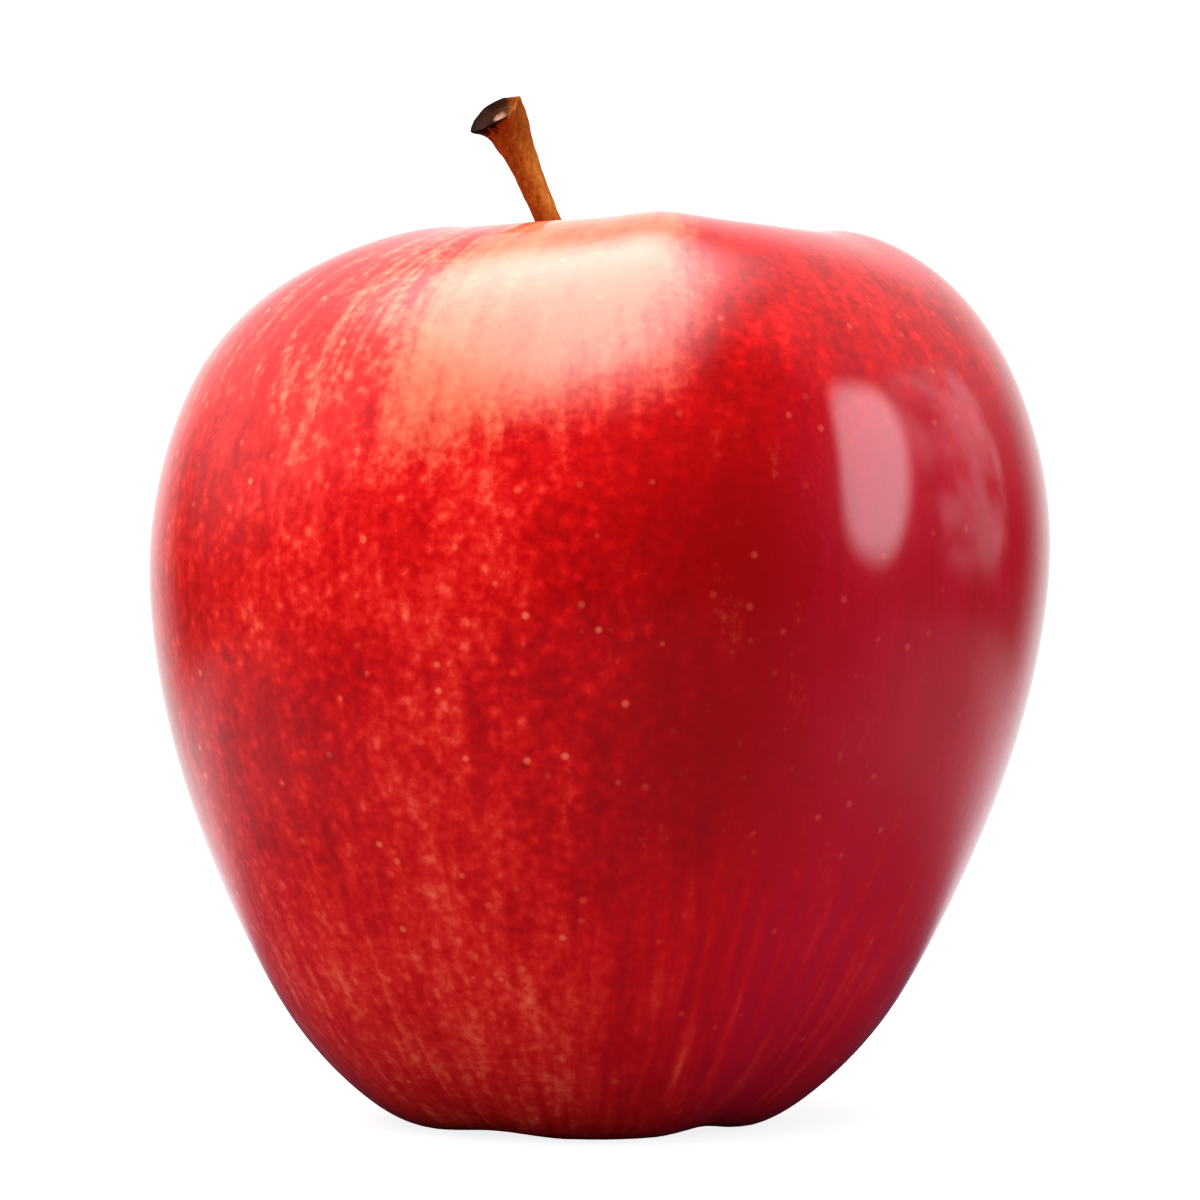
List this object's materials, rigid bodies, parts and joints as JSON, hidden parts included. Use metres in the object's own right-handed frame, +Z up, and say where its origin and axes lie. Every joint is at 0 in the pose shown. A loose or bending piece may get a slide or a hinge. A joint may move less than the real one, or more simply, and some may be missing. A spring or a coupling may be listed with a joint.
{
  "type": "red apple",
  "caption": "Whole ripe red apple with a slanting woody stem in its cavity and the dried calyx in the basin underneath, standing on its lobed base.",
  "frame": {"origin": "on the surface that the apple stands on, under the middle of its bounding box", "axes": "+Z up along the core from the calyx to the stem, -Y the front that the picture shows, +X to the right seen from the front"},
  "size_m": [0.0734, 0.0724, 0.0837],
  "materials": {
    "skin": "apple skin: thin natural wax gloss over mottled and streaked deep red, with a yellow ground at the stem cavity and pale dots",
    "stem": "woody brown stem, matt, ridged lengthways, dark corky end",
    "sepal": "dried leaf, matt and downy, grey-brown with a green tinge",
    "withered_thread": "withered plant thread, matt dark brown"
  },
  "bodies": {
    "root": {"fruit": "skin", "stem": "stem", "styles": "withered_thread", "sepal_1": "sepal", "sepal_2": "sepal", "sepal_3": "sepal", "sepal_4": "sepal", "sepal_5": "sepal", "stamen_1": "withered_thread", "stamen_2": "withered_thread", "stamen_3": "withered_thread", "stamen_4": "withered_thread", "stamen_5": "withered_thread", "stamen_6": "withered_thread", "stamen_7": "withered_thread", "stamen_8": "withered_thread", "stamen_9": "withered_thread", "stamen_10": "withered_thread", "stamen_11": "withered_thread", "stamen_12": "withered_thread", "stamen_13": "withered_thread", "stamen_14": "withered_thread", "stamen_15": "withered_thread"}
  },
  "joints": []
}
